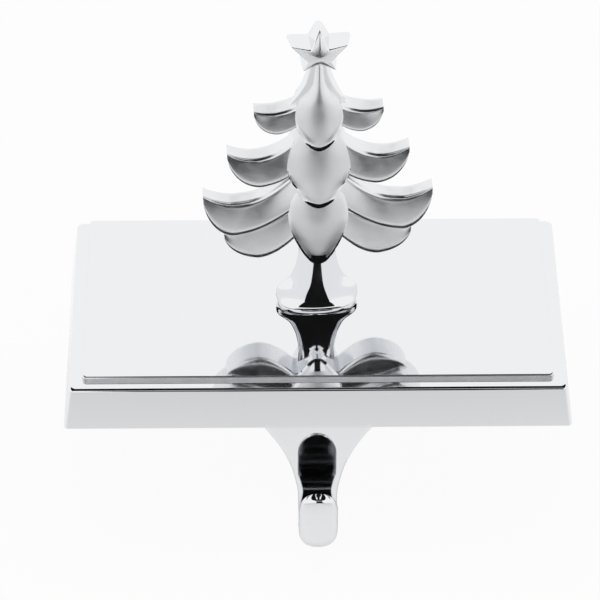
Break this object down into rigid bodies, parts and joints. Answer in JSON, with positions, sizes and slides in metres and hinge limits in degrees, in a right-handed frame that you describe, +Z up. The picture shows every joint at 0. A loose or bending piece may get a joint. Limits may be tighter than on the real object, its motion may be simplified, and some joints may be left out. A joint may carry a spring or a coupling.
{
  "type": "mantel stocking holder",
  "caption": "Weighted shelf stand with a stepped plinth, a stocking hook cast into its front skirt, and a Christmas tree casting with a star screwed on top.",
  "frame": {"origin": "middle of the plinth's plan, on the shelf, at the underside of the felt", "axes": "+Z up, -Y is the front with the hook, +X to the right as seen from the front"},
  "size_m": [0.14, 0.0828, 0.1525],
  "materials": {
    "polished_chrome": "mirror-polished chrome plate on a zinc casting",
    "satin_chrome": "chrome plate, satin on the petals and bough fronts, polished elsewhere",
    "zinc_plated_steel": "bright zinc plated steel",
    "felt": "pressed black felt"
  },
  "bodies": {
    "root": {"base": "polished_chrome", "tree": "satin_chrome", "tree_screw": "zinc_plated_steel", "screw_washer": "zinc_plated_steel", "shelf_pad": "felt"}
  },
  "joints": []
}
